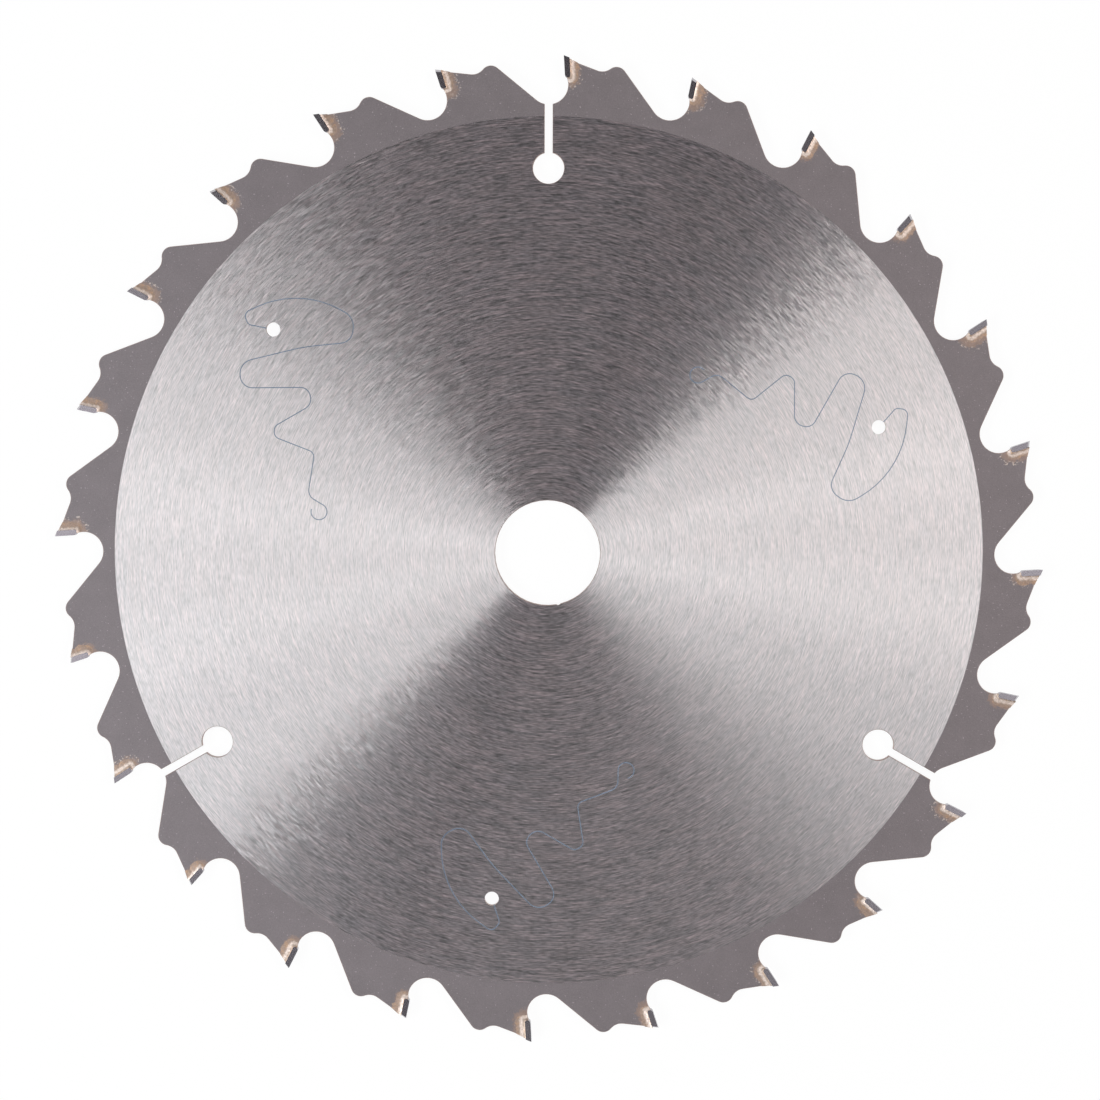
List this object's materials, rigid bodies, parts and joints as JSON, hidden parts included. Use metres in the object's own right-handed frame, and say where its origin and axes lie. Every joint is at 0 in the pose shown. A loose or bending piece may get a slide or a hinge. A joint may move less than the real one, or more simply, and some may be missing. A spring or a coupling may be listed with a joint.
{
  "type": "tct circular saw blade",
  "caption": "Carbide-tipped circular saw blade for timber: a thin steel disc with gullets, bite-limiting shoulders, expansion slots, fine damping cuts and a plain arbor bore.",
  "frame": {"origin": "centre of the arbor bore at the blade's mid thickness", "axes": "+Z along the bore's axis, out of the side that is looked at, from which the blade cuts turning counter-clockwise; one expansion slot points along +Y"},
  "size_m": [0.2348, 0.2348, 0.0028],
  "materials": {
    "blade_steel": "ground with a circular grain inside, fine matte blast at the teeth",
    "carbide": "finely ground dark grey tungsten carbide",
    "braze": "smooth silver braze, cream to gold brown",
    "cut_resin": "dull dark blue-grey resin"
  },
  "bodies": {
    "root": {"blade_body": "blade_steel", "tip_01": "carbide", "tip_02": "carbide", "tip_03": "carbide", "tip_04": "carbide", "tip_05": "carbide", "tip_06": "carbide", "tip_07": "carbide", "tip_08": "carbide", "tip_09": "carbide", "tip_10": "carbide", "tip_11": "carbide", "tip_12": "carbide", "tip_13": "carbide", "tip_14": "carbide", "tip_15": "carbide", "tip_16": "carbide", "tip_17": "carbide", "tip_18": "carbide", "tip_19": "carbide", "tip_20": "carbide", "tip_21": "carbide", "tip_22": "carbide", "tip_23": "carbide", "tip_24": "carbide", "braze_01": "braze", "braze_02": "braze", "braze_03": "braze", "braze_04": "braze", "braze_05": "braze", "braze_06": "braze", "braze_07": "braze", "braze_08": "braze", "braze_09": "braze", "braze_10": "braze", "braze_11": "braze", "braze_12": "braze", "braze_13": "braze", "braze_14": "braze", "braze_15": "braze", "braze_16": "braze", "braze_17": "braze", "braze_18": "braze", "braze_19": "braze", "braze_20": "braze", "braze_21": "braze", "braze_22": "braze", "braze_23": "braze", "braze_24": "braze", "cut_filler_1": "cut_resin", "cut_filler_2": "cut_resin", "cut_filler_3": "cut_resin"}
  },
  "joints": []
}
